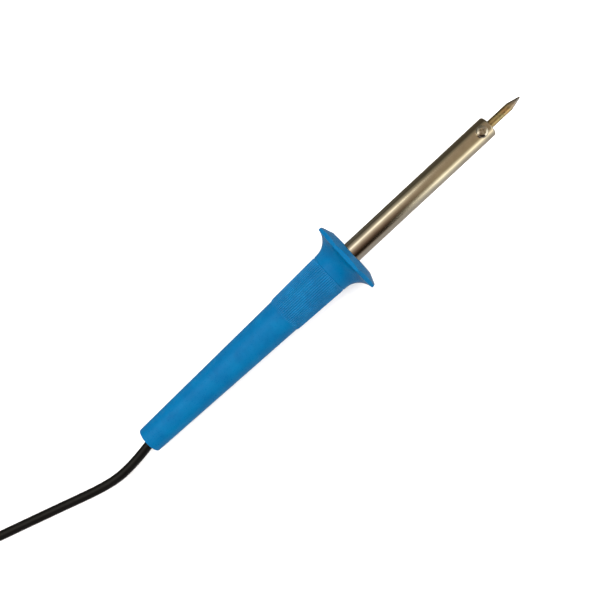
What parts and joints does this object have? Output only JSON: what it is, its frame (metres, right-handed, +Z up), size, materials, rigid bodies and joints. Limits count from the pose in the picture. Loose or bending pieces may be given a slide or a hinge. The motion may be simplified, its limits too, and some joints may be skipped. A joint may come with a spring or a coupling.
{
  "type": "soldering iron",
  "caption": "Pencil soldering iron: tapered handle with ribbed grip and flared guard, steel barrel, screwed-in bit, mains cord folded into a tied hank with a round-pin plug.",
  "frame": {"origin": "centre of the iron's own box on the surface it lies on; the cord, hank and plug are not counted", "axes": "+X from the handle's rear end towards the bit, level; +Z up; the iron's own axis rises towards the bit by 5.2 degrees, because it lies on its guard and the handle's rear end"},
  "size_m": [0.5592, 0.0405, 0.035],
  "materials": {
    "handle_plastic": "satin",
    "barrel_steel": "polished",
    "plate_steel": "satin",
    "screw_steel": "polished",
    "tip_metal": "plated, heat-tinted",
    "bush_steel": "turned",
    "mica": "matt",
    "winding_alloy": "satin",
    "ceramic_white": "unglazed",
    "lead_nickel": "satin",
    "crimp_metal": "satin",
    "glass_sleeve": "braided",
    "core_brown": "gloss",
    "core_blue": "gloss",
    "grip_rubber": "matt",
    "cord_black": "slightly glossy",
    "tie_black": "matt",
    "plug_black": "fine matt",
    "pin_nickel": "nickel plated",
    "pin_sleeve_black": "matt"
  },
  "bodies": {
    "iron": {"handle": "handle_plastic", "barrel": "barrel_steel", "barrel_collar": "plate_steel", "collar_screws": "screw_steel", "barrel_bush": "bush_steel", "bit_tube": "bush_steel", "mica_inner": "mica", "heater_winding": "winding_alloy", "mica_outer": "mica", "ceramic_plug": "ceramic_white", "heater_lead_live": "lead_nickel", "heater_lead_neutral": "lead_nickel", "lead_sleeves": "ceramic_white", "crimp_connectors": "crimp_metal", "crimp_sleeves": "glass_sleeve", "core_live": "core_brown", "core_neutral": "core_blue", "cord_grip": "grip_rubber", "power_cord": "cord_black", "cord_hank": "cord_black", "cord_tie": "tie_black", "cord_tail": "cord_black", "plug_body": "plug_black", "plug_pins": "pin_nickel", "pin_sleeves": "pin_sleeve_black"},
    "tip": {"tip": "tip_metal"},
    "screw_washer": {"tip_screw_washer": "plate_steel"},
    "tip_screw": {"tip_screw": "screw_steel"}
  },
  "joints": [
    {"name": "tip_slide", "type": "slide", "parent": "iron", "child": "tip", "axis": [0.9959, 0, 0.0907], "range_m": [0, 0.04]},
    {"name": "screw_lift", "type": "slide", "parent": "iron", "child": "screw_washer", "axis": [-0.0907, 0, 0.9959], "range_m": [0, 0.001]},
    {"name": "tip_screw_turn", "type": "hinge", "parent": "screw_washer", "child": "tip_screw", "pos_m": [0.09019, 0, 0.02477], "axis": [-0.0907, 0, 0.9959], "range_deg": [0, 721]}
  ],
  "couplings": [
    {"joint": "tip_screw_turn", "follows": "screw_lift", "rad_per_m": 12566}
  ]
}
